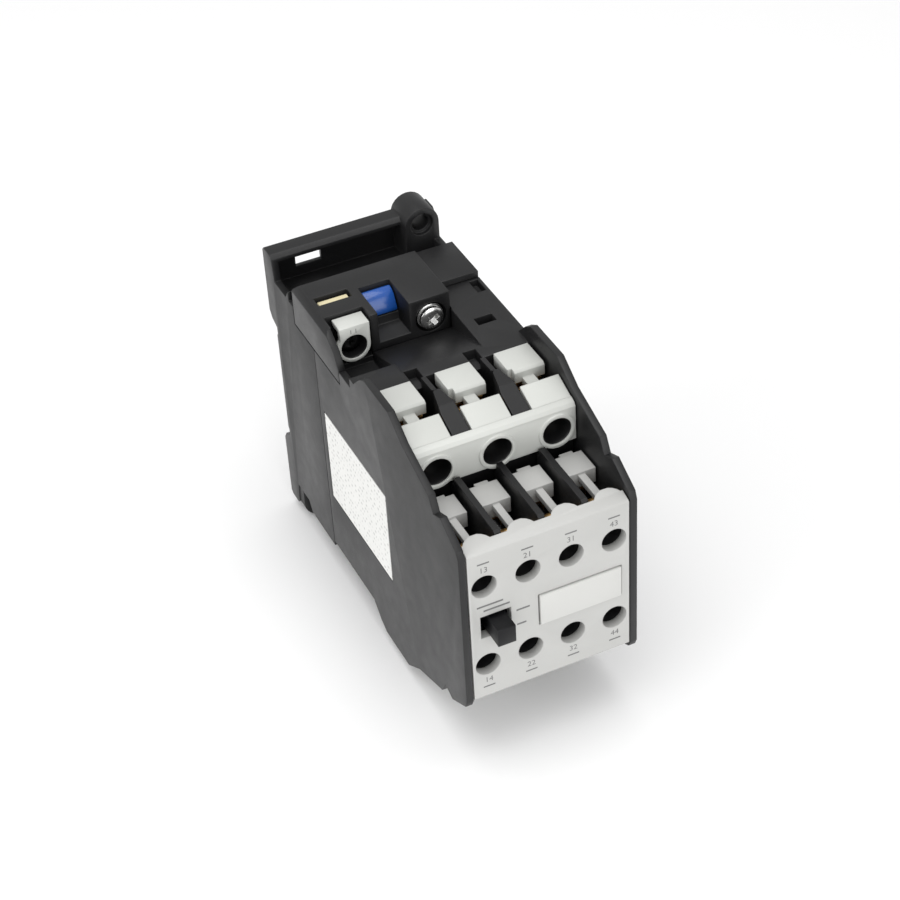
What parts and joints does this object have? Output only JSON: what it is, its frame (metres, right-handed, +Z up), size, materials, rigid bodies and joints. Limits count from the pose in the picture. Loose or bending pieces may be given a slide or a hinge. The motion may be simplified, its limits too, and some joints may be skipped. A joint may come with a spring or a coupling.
{
  "type": "electromagnetic contactor",
  "caption": "Control contactor with screw terminals for its main and auxiliary contacts, a coil terminal block and a base that snaps onto a mounting rail.",
  "frame": {"origin": "middle of the face that the 35 mm rail lies against, in the recess of the back", "axes": "+Y back into the rail, out of the rail seat; +Z up the panel, towards the coil terminals; +X to the right as seen from the front"},
  "size_m": [0.045, 0.1166, 0.0864],
  "materials": {
    "housing_black": "fine matt moulded black plastic",
    "plate_grey": "satin light grey plastic",
    "cover_white": "satin off-white plastic",
    "plug_blue": "glossy dark blue plastic",
    "marker_cream": "matt cream plastic",
    "label_paper": "matt white printed label",
    "brass": "rolled brass strip",
    "contact_silver": "silver-faced contact metal",
    "nickel": "bright nickel-plated steel",
    "copper": "enamelled copper",
    "magnet_steel": "laminated electrical steel",
    "spring_steel": "drawn spring wire"
  },
  "bodies": {
    "housing": {"base_housing": "housing_black", "contact_housing": "housing_black", "aux_contact_block": "housing_black", "main_contact_block": "housing_black", "coil_terminal_block": "housing_black", "front_plate": "plate_grey", "main_cover_top": "cover_white", "main_cover_bottom": "cover_white", "coil_cap_a1": "cover_white", "suppressor_plug": "plug_blue", "coil_marker_strip": "marker_cream", "coil_bobbin": "marker_cream", "inscription_plate": "label_paper", "side_label": "label_paper", "coil_winding": "copper", "fixed_core": "magnet_steel", "main_terminal_top_1": "brass", "main_screw_top_1": "nickel", "main_terminal_bottom_1": "brass", "main_screw_bottom_1": "nickel", "main_terminal_top_2": "brass", "main_screw_top_2": "nickel", "main_terminal_bottom_2": "brass", "main_screw_bottom_2": "nickel", "main_terminal_top_3": "brass", "main_screw_top_3": "nickel", "main_terminal_bottom_3": "brass", "main_screw_bottom_3": "nickel", "aux_terminal_top_1": "brass", "aux_screw_top_1": "nickel", "aux_terminal_bottom_1": "brass", "aux_screw_bottom_1": "nickel", "aux_terminal_top_2": "brass", "aux_screw_top_2": "nickel", "aux_terminal_bottom_2": "brass", "aux_screw_bottom_2": "nickel", "aux_terminal_top_3": "brass", "aux_screw_top_3": "nickel", "aux_terminal_bottom_3": "brass", "aux_screw_bottom_3": "nickel", "aux_terminal_top_4": "brass", "aux_screw_top_4": "nickel", "aux_terminal_bottom_4": "brass", "aux_screw_bottom_4": "nickel", "coil_screw_a1": "nickel", "coil_screw_a2": "nickel", "return_spring_top": "spring_steel", "return_spring_bottom": "spring_steel", "latch_spring": "spring_steel"},
    "carriage": {"contact_carrier": "housing_black", "armature": "magnet_steel", "main_bridge_1": "contact_silver", "main_bridge_2": "contact_silver", "main_bridge_3": "contact_silver", "aux_bridge_1": "contact_silver", "aux_bridge_2": "contact_silver", "aux_bridge_3": "contact_silver", "aux_bridge_4": "contact_silver"},
    "latch": {"rail_latch": "housing_black"}
  },
  "joints": [
    {"name": "carriage_slide", "type": "slide", "parent": "housing", "child": "carriage", "axis": [0, 1, 0], "range_m": [0, 0.0045], "stiffness_N_per_m": 600, "springref_m": -0.006, "deforming": ["return_spring_top", "return_spring_bottom"]},
    {"name": "latch_slide", "type": "slide", "parent": "housing", "child": "latch", "axis": [0, 0, -1], "range_m": [0, 0.003], "stiffness_N_per_m": 400, "springref_m": -0.003, "deforming": ["latch_spring"]}
  ]
}
